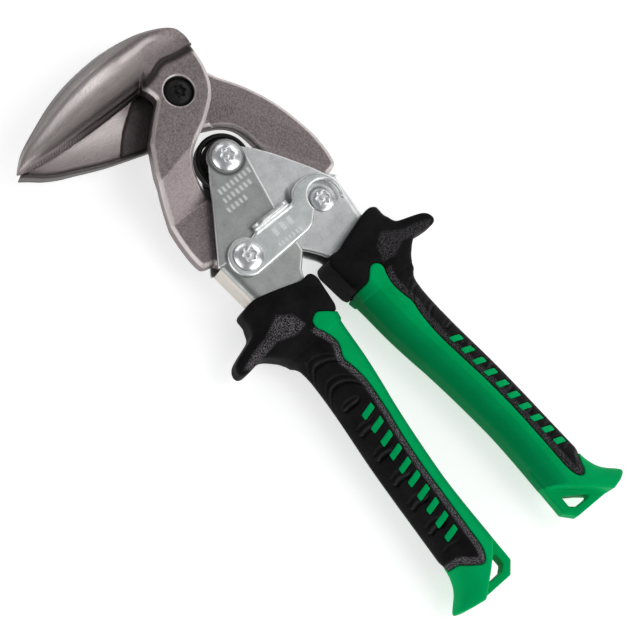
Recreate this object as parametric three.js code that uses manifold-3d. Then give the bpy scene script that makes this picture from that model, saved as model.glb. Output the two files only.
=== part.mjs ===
// Compound-action aviation snips, right-angle pattern, closed and latched.
// Millimetres.  X runs across the handles, +Y to the head, +Z out of the front face.
// The inner group has z = 0 on the handles' middle plane and y = 0 on the jaw pivot; it is
// moved so that the origin is on the handle pivot's axis, at the plane the tool lies on,
// which the backs of the grips and the ends of three bolts share.
import * as THREE from "three";
import { mergeVertices } from "three/addons/utils/BufferGeometryUtils.js";
import Module from "manifold-3d";

const wasm = await Module();
wasm.setup();

// ---------------------------------------------------------------- driving dimensions
const REST_HEIGHT = 12;              // handles' middle plane above the surface the tool lies on
const SHEAR_Z = 6.5;                 // the head is offset forward: its shearing plane
const GAP = 0.1;                     // running gap between stacked flat pieces
const FIT = 0.3;                     // gap between a piece and what it is cut by
const JAW_PIVOT = [0, 0];
const HANDLE_PIVOT = [0, -29];
const LINK_X = 19;
const LINK_Y = -63;
const LEFT_LINK = [-LINK_X, LINK_Y];
const RIGHT_LINK = [LINK_X, LINK_Y];

const JAW_THICK = 7.5;
const TAIL_HALF = 3.5;               // jaw tails run between the channels' flanges
const SHEET = 2;                     // channel sheet thickness
const RIGHT_HALF = 5.7;              // right channel, half depth outside
const LEFT_HALF = 7.9;               // left channel nests over the right one
const LATCH_Z = LEFT_HALF + 0.15;
const LATCH_TOP = LATCH_Z + SHEET;

const GRIP_HALF = 12;                // grip half thickness
const SKIN = 1.6;                    // black overmould thickness over the green sleeve

const PIVOT_SHANK = 4;
const HANDLE_SHANK = 3.5;
const LINK_SHANK = 3;
const LINK_PLAY = 0.9;               // radial play of the right link in the lower jaw's tail
const HEAD_R = 5.9;
const PIVOT_HEAD_R = 5.4;            // jaw pivot's head, sunk in its counterbore

const SPRING_R = 9.6;                // coil's mean radius
const WIRE_R = 0.95;
const SPRING_TURNS = 2.5;
const SPRING_PITCH = 2;

// ---------------------------------------------------------------- shape helpers
const vec2 = ([x, y]) => new THREE.Vector2(x, y);
const radians = THREE.MathUtils.degToRad;
const mirror = (points) => points.map(([x, y]) => [-x, y]).reverse();

function curve(points, perSpan = 2) {
  const line = new THREE.SplineCurve(points.map(vec2));
  return line.getPoints((points.length - 1) * perSpan).map((p) => [p.x, p.y]);
}

function arc([cx, cy], radius, from, to, steps = 8) {
  const points = [];
  for (let i = 0; i <= steps; i += 1) {
    const angle = radians(from + ((to - from) * i) / steps);
    points.push([cx + radius * Math.cos(angle), cy + radius * Math.sin(angle)]);
  }
  return points;
}

// A closed mesh as a solid: shared vertices merged, collapsed triangles dropped.
function solid(geometry) {
  const bare = geometry.index ? geometry.toNonIndexed() : geometry.clone();
  bare.deleteAttribute("normal");
  bare.deleteAttribute("uv");
  const merged = mergeVertices(bare, 1e-4);
  const index = merged.index.array;
  const kept = [];
  for (let i = 0; i < index.length; i += 3) {
    const [a, b, c] = [index[i], index[i + 1], index[i + 2]];
    if (a !== b && b !== c && c !== a) kept.push(a, b, c);
  }
  return new wasm.Manifold(new wasm.Mesh({
    numProp: 3,
    vertProperties: new Float32Array(merged.attributes.position.array),
    triVerts: new Uint32Array(kept),
  }));
}

// An outline in the XY plane, extruded from z = low to z = high.
function prism(points, low, high) {
  const shape = new THREE.Shape(points.map(vec2));
  const geometry = new THREE.ExtrudeGeometry(shape, { depth: high - low, bevelEnabled: false });
  return solid(geometry.translate(0, 0, low));
}

// An outline in the YZ plane, extruded from x = low to x = high.
function sidePrism(points, low, high) {
  const shape = new THREE.Shape(points.map(vec2));
  const geometry = new THREE.ExtrudeGeometry(shape, { depth: high - low, bevelEnabled: false });
  const toYZ = new THREE.Matrix4().makeBasis(
    new THREE.Vector3(0, 1, 0), new THREE.Vector3(0, 0, 1), new THREE.Vector3(1, 0, 0),
  );
  return solid(geometry.applyMatrix4(toYZ).translate(low, 0, 0));
}

function disc([x, y], radius, low, high, sides = 28) {
  const geometry = new THREE.CylinderGeometry(radius, radius, high - low, sides);
  return solid(geometry.rotateX(Math.PI / 2).translate(x, y, (low + high) / 2));
}

const ring = (at, outer, inner, low, high) => disc(at, outer, low, high)
  .subtract(disc(at, inner, low - 1, high + 1));

const hexNut = (at, acrossFlats, hole, low, high) => disc(at, acrossFlats / Math.sqrt(3), low, high, 6)
  .subtract(disc(at, hole, low - 1, high + 1));

// A turned piece: the profile is [radius, z] pairs that start and end on the axis.
function turned([x, y], profile, sides = 28) {
  const geometry = new THREE.LatheGeometry(profile.map(vec2), sides);
  return solid(geometry.rotateX(Math.PI / 2).translate(x, y, 0));
}

// Closed rings of equal count, joined side by side and capped at both ends.  Seen from the
// last ring's end, looking back at the first, the rings run clockwise.
function loft(rings) {
  const count = rings[0].length;
  const faces = [];
  for (let r = 0; r + 1 < rings.length; r += 1) {
    for (let i = 0; i < count; i += 1) {
      const j = (i + 1) % count;
      faces.push(rings[r][i], rings[r + 1][j], rings[r][j]);
      faces.push(rings[r][i], rings[r + 1][i], rings[r + 1][j]);
    }
  }
  const last = rings[rings.length - 1];
  for (let i = 1; i + 1 < count; i += 1) {
    faces.push(rings[0][0], rings[0][i], rings[0][i + 1]);
    faces.push(last[0], last[i + 1], last[i]);
  }
  const geometry = new THREE.BufferGeometry();
  geometry.setAttribute("position", new THREE.Float32BufferAttribute(faces.flat(), 3));
  return solid(geometry);
}

// Value of a smooth function given by [position, value] pairs.
function along(pairs, at) {
  const first = pairs.findIndex(([place]) => (pairs[0][0] < pairs[1][0] ? place >= at : place <= at));
  if (first <= 0) return first === 0 ? pairs[0][1] : pairs[pairs.length - 1][1];
  const [[a, va], [b, vb]] = [pairs[first - 1], pairs[first]];
  return va + ((vb - va) * (at - a)) / (b - a);
}

// ---------------------------------------------------------------- materials and nodes
const finish = (color, roughness, metalness) => ({ color, roughness, metalness });
const FORGED = finish(0x7b7072, 0.5, 0.85);
const ZINC = finish(0xa3a7a6, 0.4, 0.9);
const BRIGHT = finish(0xc2c5c6, 0.3, 0.95);
const BLACK_STEEL = finish(0x1b1b1c, 0.45, 0.6);
const GREEN = finish(0x0f9d55, 0.45, 0);
const BLACK_RUBBER = finish(0x1f2021, 0.8, 0);

const snips = new THREE.Group();
const body = new THREE.Group();
body.position.set(0, -HANDLE_PIVOT[1], REST_HEIGHT);
snips.add(body);

function node(name, piece, look) {
  const mesh = piece.getMesh();
  const geometry = new THREE.BufferGeometry();
  const position = new THREE.Float32BufferAttribute(mesh.vertProperties, 3);
  geometry.setAttribute("position", position);
  geometry.setIndex(Array.from(mesh.triVerts));
  geometry.computeVertexNormals();
  const part = new THREE.Mesh(geometry, new THREE.MeshStandardMaterial(look));
  part.name = name;
  body.add(part);
}

// ---------------------------------------------------------------- jaws
// The two forged arms mirror each other; these run down the right-hand one.
const ARM_OUTER = curve([
  [17.9, -3], [24.4, -13], [29.6, -25], [32.6, -38], [33.6, -48], [33.2, -54.5], [31.6, -56.3], [28.4, -57],
]);
const TAIL_R = 7.8;
const TAIL_ROUND = arc(RIGHT_LINK, TAIL_R, 20, -200, 14);
const ARM_INNER = curve([[12.2, -50], [13.9, -37], [12.6, -25], [7.4, -18.5], [0, -15.6]]);
const ARM = [...ARM_OUTER, ...TAIL_ROUND, ...ARM_INNER];

// Side profiles: each jaw lies on its own side of the shear plane at the hub and ramps back
// to a tail centred between the flanges.
const RAMP_TOP = -21.5;
const RAMP_FOOT = -36;
const jawProfile = (near, far, foot) => [
  [40, near], [40, far], [RAMP_TOP, far], [foot, Math.sign(far - near) * TAIL_HALF],
  [-80, Math.sign(far - near) * TAIL_HALF], [-80, Math.sign(near - far) * TAIL_HALF],
  [foot - 1, Math.sign(near - far) * TAIL_HALF], [RAMP_TOP - 2, near],
];
const HUB_FRONT = SHEAR_Z + GAP + JAW_THICK;
const HUB_REAR = SHEAR_Z - GAP - JAW_THICK;
const frontProfile = jawProfile(SHEAR_Z + GAP, HUB_FRONT, RAMP_FOOT);
const rearProfile = jawProfile(SHEAR_Z - GAP, HUB_REAR, RAMP_FOOT + 1.5);
const BORE = PIVOT_SHANK + FIT;
const COUNTERBORE_R = PIVOT_HEAD_R + 0.4;
const COUNTERBORE_FLOOR = HUB_FRONT - 3;

// The domed upper blade: cutting line, foot of the dome, back edge and height, from the
// hub's right-hand side to the tip.
const BLADE_CUT = [[15, 9.5], [-15, 8.1], [-30, 7.9], [-42, 8.3], [-52, 9], [-60, 10.1], [-66.5, 11.7]];
const DOME_FOOT = [
  [15, 11], [8, 11.3], [1.5, 13], [-5, 10.8], [-12, 10.1], [-30, 10.1], [-42, 10.4], [-52, 10.8],
  [-61, 11.7], [-66.5, 12],
];
const DOME_BACK = curve([
  [15.9, 13.5], [15.5, 18.3], [13.4, 22.2], [8.4, 25], [0.5, 27.7], [-8, 29], [-17, 29.3], [-29, 28.2],
  [-40, 25.7], [-50.3, 21.9], [-58.8, 18.3], [-63.6, 15.3], [-66.5, 12.6],
], 1);
const DOME_HEIGHT = [
  [16, 8.4], [11, 10.4], [2, 11.8], [-20, 12], [-36, 10.4], [-51, 7.2], [-61, 4], [-66.5, 1.3],
];
const DOME_SECTION = [
  [0.05, 0.42], [0.15, 0.63], [0.3, 0.85], [0.45, 0.97], [0.56, 1], [0.72, 0.92], [0.85, 0.68], [1, 0.16],
];
const BLADE_EDGE = 0.7;

function bladeRing(x, back) {
  const cut = along(BLADE_CUT, x);
  const foot = Math.min(along(DOME_FOOT, x), back - 0.5);
  const height = along(DOME_HEIGHT, x);
  const strip = Math.min(2.4, height * 0.4);
  const section = [[cut, GAP], [cut, BLADE_EDGE], [foot, strip]];
  for (const [across, up] of DOME_SECTION) {
    section.push([foot + (back - foot) * across, Math.max(GAP + up * height, strip + 0.05 * up)]);
  }
  section.push([back, GAP]);
  return section.map(([y, z]) => [x, y, z + SHEAR_Z]);
}

function upperJaw() {
  const hubRight = curve([[14.4, 8], [14.1, 2.4], [11.7, -4.2], [6.7, -10.3], [0, -15]]);
  const hubLeft = curve([[-17.9, -5], [-13.4, -1.6], [-9.2, 3], [-10, 6], [-14, 12.5]]);
  const outline = [[14.2, 14], ...hubRight, ...mirror(ARM).slice(1), ...hubLeft.slice(1)];
  const hubAndArm = prism(outline, -10, 20).intersect(sidePrism(frontProfile, -60, 60));
  const blade = loft(DOME_BACK.map(([x, back]) => bladeRing(x, back)).reverse());
  return hubAndArm.add(blade)
    .subtract(disc(JAW_PIVOT, BORE, -10, 20))
    .subtract(disc(JAW_PIVOT, COUNTERBORE_R, COUNTERBORE_FLOOR, 20))
    .subtract(disc(LEFT_LINK, LINK_SHANK + FIT, -20, 20));
}

function lowerJaw() {
  const bladeBack = [[-66, 10.9], [-63, 12.6], [-45, 14.2], [-20, 14.8]];
  const hubTop = arc(JAW_PIVOT, 15.6, 108, 8, 10);
  const bladeFront = curve([
    [-8, -14.4], [-16, -11.2], [-27.8, -7.6], [-38.3, -4.1], [-48.8, 0.3], [-59, 5.6], [-66, 10.9],
  ]);
  const outline = [...bladeBack, ...hubTop, ...ARM, ...bladeFront.slice(0, -1)];
  const recess = [
    [-23.5, 2.1], [-30.5, -5], [-22.7, -7.5], ...arc(JAW_PIVOT, 17, 212, 152, 8),
  ];
  return prism(outline.reverse(), -20, 10)
    .intersect(sidePrism(rearProfile, -80, 60))
    .subtract(prism(recess, SHEAR_Z - 3.6, 10))
    .subtract(disc(JAW_PIVOT, BORE, -20, 20))
    .subtract(disc(RIGHT_LINK, LINK_SHANK + LINK_PLAY, -20, 20));
}

node("upper_jaw", upperJaw(), FORGED);
node("lower_jaw", lowerJaw(), FORGED);

// ---------------------------------------------------------------- fasteners
// Button head on a shank that ends flush with its nut; the recess is the driver socket.
const SOCKET_R = 2.2;
function buttonBolt(at, radius, headLow, headHigh, shank, end) {
  const rim = headLow + (headHigh - headLow) * 0.45;
  return turned(at, [
    [0, end], [shank, end], [shank, headLow], [radius, headLow], [radius, rim],
    [radius * 0.8, headHigh - 0.3], [radius * 0.55, headHigh], [SOCKET_R, headHigh],
    [SOCKET_R, headHigh - 1], [0, headHigh - 1],
  ]);
}

const PIVOT_END = HUB_REAR - 6;
const PIVOT_LOW = COUNTERBORE_FLOOR + GAP;
const PIVOT_TOP = HUB_FRONT + 0.3;
const BOLT_END = -REST_HEIGHT;
const HANDLE_LOW = LEFT_HALF + GAP;
const LATCHED_LOW = LATCH_TOP + 0.7;
const LINK_LOW = RIGHT_HALF + GAP;
const bolts = [
  ["jaw_pivot_bolt", JAW_PIVOT, PIVOT_HEAD_R, PIVOT_LOW, PIVOT_TOP, PIVOT_SHANK, PIVOT_END, BLACK_STEEL],
  ["handle_pivot_bolt", HANDLE_PIVOT, HEAD_R, HANDLE_LOW, HANDLE_LOW + 2.8, HANDLE_SHANK, BOLT_END, BRIGHT],
  ["left_link_bolt", LEFT_LINK, HEAD_R, LATCHED_LOW, LATCHED_LOW + 2.6, LINK_SHANK, BOLT_END, BRIGHT],
  ["right_link_bolt", RIGHT_LINK, HEAD_R, LINK_LOW, LINK_LOW + 2.1, LINK_SHANK, BOLT_END, BRIGHT],
];
for (const [name, at, radius, low, high, shank, end, look] of bolts) {
  node(name, buttonBolt(at, radius, low, high, shank, end), look);
}

const nuts = [
  ["jaw_pivot_nut", JAW_PIVOT, 13, PIVOT_SHANK, PIVOT_END, HUB_REAR - 1.3, BLACK_STEEL],
  ["handle_pivot_nut", HANDLE_PIVOT, 11, HANDLE_SHANK, BOLT_END, -LEFT_HALF - 1.1, BRIGHT],
  ["left_link_nut", LEFT_LINK, 10, LINK_SHANK, BOLT_END, -LEFT_HALF - GAP, BRIGHT],
  ["right_link_nut", RIGHT_LINK, 10, LINK_SHANK, BOLT_END, -RIGHT_HALF - GAP, BRIGHT],
];
for (const [name, at, acrossFlats, shank, low, high, look] of nuts) {
  node(name, hexNut(at, acrossFlats, shank + FIT, low, high), look);
}

const BUSHING_HALF = RIGHT_HALF - SHEET - 0.15;
const washers = [
  ["jaw_pivot_washer", JAW_PIVOT, 8, PIVOT_SHANK, HUB_REAR - 1.2, HUB_REAR - 0.2, BLACK_STEEL],
  ["handle_pivot_washer", HANDLE_PIVOT, 7, HANDLE_SHANK, -LEFT_HALF - 1, -LEFT_HALF - GAP, BRIGHT],
  ["left_link_spacer_front", LEFT_LINK, 6.5, LINK_SHANK, TAIL_HALF + GAP, LEFT_HALF - SHEET - GAP, BRIGHT],
  ["left_link_spacer_rear", LEFT_LINK, 6.5, LINK_SHANK, SHEET + GAP - LEFT_HALF, -TAIL_HALF - GAP, BRIGHT],
  ["latch_wave_washer", LEFT_LINK, 5.6, LINK_SHANK, LATCH_TOP + GAP, LATCH_TOP + 0.6, BRIGHT],
  ["spring_bushing", HANDLE_PIVOT, 8.2, HANDLE_SHANK, -BUSHING_HALF, BUSHING_HALF, BLACK_STEEL],
];
for (const [name, at, outer, shank, low, high, look] of washers) {
  node(name, ring(at, outer, shank + FIT, low, high), look);
}

// ---------------------------------------------------------------- handle channels
// Each handle is one folded sheet: two flanges joined by a web on the outer side.  The web
// stops below the link, and the flanges narrow into a tang inside the grip.
const WEB_TOP = -60.3;
const TANG_END = -188;
const APEX_R = 7;

function channel(outline, webInner, half, holes) {
  const everythingAbove = [[-60, WEB_TOP], [60, WEB_TOP], [60, 0], [-60, 0]];
  let frame = prism(outline, -half, half)
    .subtract(prism(webInner, SHEET - half, half - SHEET))
    .subtract(prism(everythingAbove, SHEET - half, half - SHEET));
  for (const [at, radius] of holes) frame = frame.subtract(disc(at, radius, -20, 20));
  return frame;
}

// Outer side of the tang and the web's inner face beside it, right-hand side positive.
const TANG_OUTER = [
  [28, -79], [25.4, -90], [22, -101], [19.8, -112], [20.2, -130], [23, -150], [25.3, TANG_END],
];
const TANG_INNER = [
  [19.9, TANG_END], [18.6, -166], [16.9, -151], [14.1, -131], [12.4, -117], [10.8, -98], [8.4, -85],
];
const tangOuter = (top) => [[top, WEB_TOP + 0.5], ...TANG_OUTER];
const shifted = (points, dx, dy = 0) => points.map(([x, y]) => [x + dx, y + dy]);
const pocket = (outer) => [
  ...shifted(outer, -SHEET), [TANG_OUTER.at(-1)[0] - SHEET, TANG_END - 5],
  [-12, TANG_END - 5], [-12, WEB_TOP + 0.5],
];

const leftOuter = tangOuter(29.8);
const leftPlate = [
  ...arc(HANDLE_PIVOT, APEX_R, 44, 190, 8),
  [-6.6, -33], [-2.1, -54.7], [0, -70.2], [0.5, -73.8], [3.1, -76.6], [5.5, -78.8], [6.4, -81],
  ...TANG_INNER.slice().reverse(), ...leftOuter.slice().reverse(),
];
const rightOuter = tangOuter(29.8);
const rightPlate = [
  ...arc(HANDLE_PIVOT, APEX_R, 8, 180, 8),
  [-2.4, -60], [0, -73], [2, -75.1], [5.1, -79.2], [6.4, -81.5],
  ...TANG_INNER.slice().reverse(), ...rightOuter.slice().reverse(),
  [26.6, -56.3], ...curve([[24.2, -51.6], [16.4, -39.2], [11.6, -32.8]], 1),
];

const frameHoles = (link) => [[HANDLE_PIVOT, HANDLE_SHANK + FIT], [link, LINK_SHANK + FIT]];
const leftFrame = channel(mirror(leftPlate), mirror(pocket(leftOuter)), LEFT_HALF, frameHoles(LEFT_LINK));
const rightFrame = channel(rightPlate, pocket(rightOuter), RIGHT_HALF, frameHoles(RIGHT_LINK));
node("left_handle_frame", leftFrame, ZINC);
node("right_handle_frame", rightFrame, ZINC);

// ---------------------------------------------------------------- latch
// A flat arm on the left link bolt whose hook drops over the right link's head; a bent-up
// thumb tab stands along its upper edge.
function latch() {
  const hookInner = 6.2;
  const outline = [
    ...arc(LEFT_LINK, 7.6, 60, 262, 12),
    [5.6, -69.4], ...curve([[8.6, -68.4], [11, -66.4]], 1),
    ...arc(RIGHT_LINK, hookInner, 195, -38, 14),
    [25, -67.9],
    ...curve([[26.3, -65.8], [26.8, -61], [24, -55.7], [17, -52.6], [11.6, -53.5], [8, -55.9]], 2),
    [7, -57.8], [-11.4, -57.8], [-13.6, -58.3],
  ];
  const tab = [[-11.1, -57.3], [6.9, -57.3], [6.3, -55.1], [-10.5, -55.1]];
  return prism(outline, LATCH_Z, LATCH_TOP)
    .add(prism([[-11.2, -58.5], [7, -58.5], [7, -55.1], [-11.2, -55.1]], LATCH_Z, LATCH_TOP))
    .add(prism(tab, LATCH_Z, LATCH_TOP + 3.3))
    .subtract(disc(LEFT_LINK, LINK_SHANK + FIT, 0, 20));
}
node("latch", latch(), BRIGHT);

// ---------------------------------------------------------------- return spring
// A torsion spring round the bushing; each leg runs down inside its own handle.
function spring() {
  const [x, y] = HANDLE_PIVOT;
  const low = (-SPRING_PITCH * SPRING_TURNS) / 2;
  const leg = [[7.2, -73], [7.4, -60], [7.7, -45], [SPRING_R, y - 5]];
  const points = leg.map(([legX, legY]) => [legX, legY, low]);
  const steps = 40;
  for (let i = 0; i <= steps; i += 1) {
    const turn = (i / steps) * SPRING_TURNS;
    const angle = 2 * Math.PI * turn;
    const [coilX, coilY] = [x + SPRING_R * Math.cos(angle), y + SPRING_R * Math.sin(angle)];
    points.push([coilX, coilY, low + SPRING_PITCH * turn]);
  }
  points.push(...leg.reverse().map(([legX, legY]) => [-legX, legY, -low]));
  const section = new THREE.Shape(arc([0, 0], WIRE_R, 0, 315, 7).map(vec2));
  const path = new THREE.CatmullRomCurve3(points.map((p) => new THREE.Vector3(...p)), false, "centripetal");
  return solid(new THREE.ExtrudeGeometry(section, { steps: 80, bevelEnabled: false, extrudePath: path }));
}
node("return_spring", spring(), BLACK_STEEL);

// ---------------------------------------------------------------- grips
// Plan of a grip, right-hand side positive: inner and outer side against y.
const GRIP_INNER = [
  [-74, 3.6], [-84, 3.7], [-91, 4.5], [-106, 5.9], [-118, 6.7], [-129, 8.4], [-138, 10], [-150, 11.5],
  [-165, 13.2], [-180, 14], [-216, 14],
];
const GRIP_OUTER = [
  [-74, 33.6], [-86, 33.8], [-92, 34], [-98, 33.2], [-101, 30.8], [-104, 29.2], [-109, 28.3], [-116, 27.9],
  [-130, 28.9], [-150, 31.3], [-165, 32.5], [-180, 33.3], [-197, 34.6], [-203, 36.2], [-208, 40.6],
  [-211, 43.6], [-216, 43.6],
];
const GRIP_STATIONS = [
  -76, -86, -92, -98, -104, -110, -118, -130, -150, -165, -180, -197, -203, -208, -211, -216,
];
// Fractions of the half thickness where the faces turn into the inner and outer sides: boxy
// at the collar, softer further down.
const INNER_CORNER = [[-74, 0.85], [-97, 0.8], [-112, 0.52], [-216, 0.52]];
const RIDGE = [[-74, 0.95], [-97, 0.92], [-112, 0.78], [-216, 0.78]];
const GRIP_SHOULDER = [[-74, 0.95], [-97, 0.93], [-114, 0.8], [-216, 0.8]];
const GRIP_RIM = [[-74, 0.6], [-97, 0.55], [-114, 0.3], [-216, 0.3]];
const GRIP_PLAN = [
  ...curve([
    [33.8, -79.5], [32.4, -77.8], [28, -77.4], [21, -79.2], [14.8, -81.2], [9.5, -82.8], [5.4, -82.6],
    [3.4, -85],
  ], 1),
  [-4, -95], [-4, -180], [12.5, -197.5], [32.5, -214], [42, -212], [44.4, -210.4], [50, -200],
];

// Section of a grip at one height, shrunk all round by inset.
function gripRing(y, inset) {
  const inner = along(GRIP_INNER, y) + inset;
  const outer = along(GRIP_OUTER, y) - inset;
  const half = GRIP_HALF - inset;
  const width = outer - inner;
  const front = [
    [inner, half * along(INNER_CORNER, y)], [inner + 2.7, half * along(RIDGE, y)],
    [inner + 0.4 * width, half * 0.99], [inner + 0.58 * width, half],
    [outer - 0.2 * width, half * along(GRIP_SHOULDER, y)], [outer, half * along(GRIP_RIM, y)],
  ];
  const rear = front.map(([x, z]) => [x, -z]).reverse();
  return [...front, ...rear].map(([x, z]) => [x, y, z]);
}

const gripBody = (inset) => loft(GRIP_STATIONS.map((y) => gripRing(y, inset)))
  .intersect(prism(GRIP_PLAN, -20, 20));

// Where the black overmould meets the green sleeve: one face shows a wide green panel and
// the other a narrow one, because both handles use the same moulding turned over.
const WIDE_EDGE = curve([
  [2, -98.4], [10, -97.8], [13.8, -94.6], [16.6, -94.2], [18.5, -97], [17.1, -104.5], [18.5, -114],
  [17.9, -126], [20.5, -148], [22.6, -170], [23.2, -196], [26.2, -202.6], [29.2, -200], [33, -196.6],
], 1);
const NARROW_EDGE = curve([
  [2, -99.4], [7.6, -98.2], [12, -94.8], [15, -95], [16.9, -98.5], [14.2, -106.8], [16.4, -114], [14.9, -126],
  [17.5, -148], [20, -174], [21.7, -197], [25.2, -203.6], [30, -200.4], [34, -198.2],
], 1);
const blackSide = (edge, grow) => [
  [-8, edge[0][1] - 2 * grow], ...shifted(edge, -grow, -2 * grow), [60, edge.at(-1)[1] - 2 * grow],
  [60, -60], [-8, -60],
];
const blackZone = (grow) => prism(blackSide(WIDE_EDGE, grow), 0, 20)
  .add(prism(blackSide(NARROW_EDGE, grow), -20, 0));

function horn() {
  const outline = [
    [28, -85.4],
    ...curve([
      [34.4, -86], [38.8, -87.9], [45, -90], [48.3, -92.4], [48, -95.4], [43, -95.4], [38.4, -95],
    ], 2),
    ...curve([[34.4, -97], [31.4, -99.6], [27, -104]], 2),
  ];
  return prism(outline.reverse(), -7.5, 7.5);
}

const TAB_HALF = 3.2;
// The thin tab at the inner lower corner, with a three-cornered lanyard hole.
function lanyardTab(grow) {
  const outer = [
    [13.4 - grow, -192], [13.4 - grow, -209.6], [17.2, -213.8 - grow], [32.5, -213.6 - grow], [30, -200],
  ];
  return prism(outer, -TAB_HALF - grow, TAB_HALF + grow);
}
const LANYARD_HOLE = [[17.6, -203.8], [26, -210.4], [19.6, -210.6], [17.6, -208.8]];

const tangRoom = (half) => prism([
  [2, -60], [5.6, -81.3], ...shifted(TANG_INNER.slice().reverse(), -FIT),
  [TANG_INNER[0][0] - FIT, TANG_END - FIT],
  [TANG_OUTER.at(-1)[0] + FIT, TANG_END - FIT], ...shifted(TANG_OUTER.slice().reverse(), FIT), [32, -60],
], -half - FIT, half + FIT);

function overmold() {
  return gripBody(0).intersect(blackZone(0)).add(horn()).subtract(gripBody(SKIN));
}

function sleeve(half) {
  const core = gripBody(SKIN + FIT);
  const shown = gripBody(0).subtract(blackZone(FIT)).subtract(horn());
  return core.add(shown).add(lanyardTab(0)).subtract(tangRoom(half))
    .subtract(prism(LANYARD_HOLE, -20, 20));
}

// The moulding turned over about its long axis is the left-hand grip.
const turnedOver = (piece) => piece.rotate([0, 180, 0]);
node("right_grip_overmold", overmold(), BLACK_RUBBER);
node("right_grip_sleeve", sleeve(RIGHT_HALF), GREEN);
node("left_grip_overmold", turnedOver(overmold()), BLACK_RUBBER);
node("left_grip_sleeve", turnedOver(sleeve(LEFT_HALF)), GREEN);

export default snips;
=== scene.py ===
import bpy
import numpy as np
from mathutils import Matrix, Vector

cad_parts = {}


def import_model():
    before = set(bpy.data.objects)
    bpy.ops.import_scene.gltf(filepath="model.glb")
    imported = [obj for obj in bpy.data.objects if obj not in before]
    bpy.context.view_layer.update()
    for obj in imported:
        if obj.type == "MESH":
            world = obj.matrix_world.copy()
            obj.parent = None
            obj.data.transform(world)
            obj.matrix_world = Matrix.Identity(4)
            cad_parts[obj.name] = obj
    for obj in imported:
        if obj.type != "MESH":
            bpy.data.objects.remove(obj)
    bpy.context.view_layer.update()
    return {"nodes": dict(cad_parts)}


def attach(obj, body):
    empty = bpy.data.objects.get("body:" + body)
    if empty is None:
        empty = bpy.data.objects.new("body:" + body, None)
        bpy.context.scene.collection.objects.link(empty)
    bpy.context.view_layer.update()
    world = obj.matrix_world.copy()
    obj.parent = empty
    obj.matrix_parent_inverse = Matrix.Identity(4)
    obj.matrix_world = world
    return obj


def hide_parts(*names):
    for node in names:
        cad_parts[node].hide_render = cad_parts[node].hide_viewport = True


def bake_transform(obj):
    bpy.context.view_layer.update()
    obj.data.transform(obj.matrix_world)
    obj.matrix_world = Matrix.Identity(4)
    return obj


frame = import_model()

# Lengths are millimetres in the maker's frame: x across the handles, y along them with the
# jaw pivot at 0, z out of the front face with 0 on the handles' middle plane.
MM = 0.001
COARSE = 1.0

JAW_PIVOT = (0.0, 0.0)
HANDLE_PIVOT = (0.0, -29.0)
LEFT_LINK = (-19.0, -63.0)
RIGHT_LINK = (19.0, -63.0)
BOLT_END = -12.0

# From the maker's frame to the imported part's, whose origin is the handle pivot bolt's end.
TO_ROW = np.array([0.0, -HANDLE_PIVOT[1], -BOLT_END])

JAW_SHANK = 4.0
HANDLE_SHANK = 3.5
LINK_SHANK = 3.0
FIT = 0.3
LINK_PLAY = 0.9

SHEAR_Z = 6.5
GAP = 0.1
UPPER_FACE = SHEAR_Z + GAP
LOWER_FACE = SHEAR_Z - GAP
HUB_FRONT = 14.1
HUB_REAR = -1.1
TAIL_HALF = 3.5
RIGHT_HALF = 5.7
LEFT_HALF = 7.9
SHEET = 2.0
LATCH_LOW = 8.05
LATCH_TOP = 10.05
GRIP_HALF = 12.0
SKIN = 1.6

DIAGONAL = 0.70711
FAR = 9.0


# ---------------------------------------------------------------- curves and distances
def smooth(points, per_span=8):
    """Points along a smooth curve through the given ones."""
    p = np.array(points, float)
    p = np.vstack([2 * p[0] - p[1], p, 2 * p[-1] - p[-2]])
    steps = np.arange(per_span)[:, None] / per_span
    spans = []
    for a, b, c, d in zip(p, p[1:], p[2:], p[3:]):
        square = (2 * a - 5 * b + 4 * c - d) * steps ** 2
        cube = (3 * b - a - 3 * c + d) * steps ** 3
        spans.append(0.5 * (2 * b + (c - a) * steps + square + cube))
    return np.vstack(spans + [p[-2:-1]])


def arc(centre, radius, start, end, steps=16):
    angles = np.radians(np.linspace(start, end, steps + 1))
    return np.stack([centre[0] + radius * np.cos(angles), centre[1] + radius * np.sin(angles)], 1)


def outline(*parts):
    return np.vstack([np.array(part, float).reshape(-1, 2) for part in parts])


def mirrored(points):
    return np.array(points, float)[::-1] * (-1, 1)


def profile(pairs):
    """A smooth function of one variable through [place, value] pairs."""
    line = smooth(sorted(pairs), 24)
    return lambda at: np.interp(at, line[:, 0], line[:, 1]).astype(np.float32)


def segment_distance(x, y, points):
    best = np.full(np.broadcast(x, y).shape, np.inf, np.float32)
    for (ax, ay), (bx, by) in zip(points, points[1:]):
        ex, ey = bx - ax, by - ay
        length = ex * ex + ey * ey
        if length < 1e-9:
            continue
        along = np.clip(((x - ax) * ex + (y - ay) * ey) / length, 0, 1)
        best = np.minimum(best, (x - ax - ex * along) ** 2 + (y - ay - ey * along) ** 2)
    return np.sqrt(best)


def plan_distance(x, y, points):
    """Distance to a closed outline in the XY plane, negative inside."""
    closed = np.vstack([points, points[:1]])
    inside = np.zeros(np.broadcast(x, y).shape, bool)
    for (ax, ay), (bx, by) in zip(closed, closed[1:]):
        if ay != by:
            inside ^= ((ay > y) != (by > y)) & (x < (bx - ax) * (y - ay) / (by - ay) + ax)
    return np.where(inside, -1, 1) * segment_distance(x, y, closed)


def radius_from(space, centre):
    return np.hypot(space.x - centre[0], space.y - centre[1])


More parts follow.
